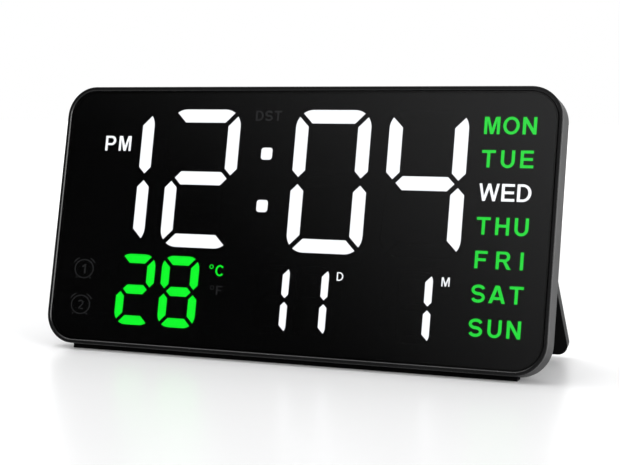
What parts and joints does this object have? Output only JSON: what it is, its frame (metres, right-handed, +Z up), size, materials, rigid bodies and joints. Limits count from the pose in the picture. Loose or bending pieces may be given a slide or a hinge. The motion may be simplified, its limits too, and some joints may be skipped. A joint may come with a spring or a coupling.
{
  "type": "digital clock",
  "caption": "Slim leaning LED desk clock with a smoked front panel in a thin rim, bar digits for time, temperature and date, a weekday column, rear buttons and a fold-out kickstand.",
  "frame": {"origin": "on the surface the clock stands on, under the middle of its box", "axes": "+X along the face to the reader's right, -Y towards the reader, +Z up"},
  "size_m": [0.27, 0.0784, 0.1378],
  "materials": {
    "case_plastic": "satin, finely textured",
    "lens_acrylic": "smoked, polished",
    "film_print": "flat black print",
    "white_diffuser": "milky, lit white",
    "green_diffuser": "milky, lit green",
    "dark_diffuser": "milky, unlit behind the smoked lens",
    "reflector_plastic": "moulded white",
    "led_package": "moulded epoxy",
    "board_laminate": "solder mask over glass laminate",
    "chip_epoxy": "moulded epoxy",
    "plated_steel": "nickel plated",
    "can_aluminium": "drawn can",
    "bead_epoxy": "dipped epoxy",
    "holder_plastic": "moulded",
    "button_plastic": "satin",
    "grip_rubber": "soft, dull"
  },
  "bodies": {
    "clock_body": {"front_frame": "case_plastic", "rear_cover": "case_plastic", "front_lens": "lens_acrylic", "legend_film": "film_print", "hour_segments": "white_diffuser", "minute_segments": "white_diffuser", "colon_dots": "white_diffuser", "date_segments": "white_diffuser", "indicator_tiles": "white_diffuser", "temperature_segments": "green_diffuser", "weekday_tiles": "green_diffuser", "idle_segments": "dark_diffuser", "reflector_block": "reflector_plastic", "white_leds": "led_package", "green_leds": "led_package", "main_board": "board_laminate", "controller_chip": "chip_epoxy", "driver_chips": "chip_epoxy", "clock_chip": "chip_epoxy", "chip_passives": "chip_epoxy", "buzzer": "chip_epoxy", "tact_switches": "chip_epoxy", "crystal": "plated_steel", "usb_socket": "plated_steel", "battery_contact": "plated_steel", "coin_cell": "plated_steel", "hinge_pins": "plated_steel", "case_screws": "plated_steel", "board_screws": "plated_steel", "capacitor": "can_aluminium", "thermistor": "bead_epoxy", "battery_holder": "holder_plastic", "base_strip": "grip_rubber"},
    "kickstand": {"kickstand": "case_plastic", "stand_pads": "grip_rubber"},
    "battery_door": {"battery_door": "case_plastic"},
    "set_button": {"set_button": "button_plastic"},
    "alarm_button": {"alarm_button": "button_plastic"},
    "up_button": {"up_button": "button_plastic"},
    "down_button": {"down_button": "button_plastic"},
    "light_button": {"light_button": "button_plastic"}
  },
  "joints": [
    {"name": "stand_fold", "type": "hinge", "parent": "clock_body", "child": "kickstand", "pos_m": [0, 0.0024, 0.09961], "axis": [-1, 0, 0], "range_deg": [0, 31.8]},
    {"name": "door_turn", "type": "hinge", "parent": "clock_body", "child": "battery_door", "pos_m": [-0.066, 0.00827, 0.11614], "axis": [0, 0.9744, -0.225], "range_deg": [0, 40]},
    {"name": "set_press", "type": "slide", "parent": "clock_body", "child": "set_button", "axis": [0, -0.9744, 0.225], "range_m": [0, 0.0004], "stiffness_N_per_m": 2000},
    {"name": "alarm_press", "type": "slide", "parent": "clock_body", "child": "alarm_button", "axis": [0, -0.9744, 0.225], "range_m": [0, 0.0004], "stiffness_N_per_m": 2000},
    {"name": "up_press", "type": "slide", "parent": "clock_body", "child": "up_button", "axis": [0, -0.9744, 0.225], "range_m": [0, 0.0004], "stiffness_N_per_m": 2000},
    {"name": "down_press", "type": "slide", "parent": "clock_body", "child": "down_button", "axis": [0, -0.9744, 0.225], "range_m": [0, 0.0004], "stiffness_N_per_m": 2000},
    {"name": "light_press", "type": "slide", "parent": "clock_body", "child": "light_button", "axis": [0, -0.9744, 0.225], "range_m": [0, 0.0004], "stiffness_N_per_m": 2000}
  ]
}
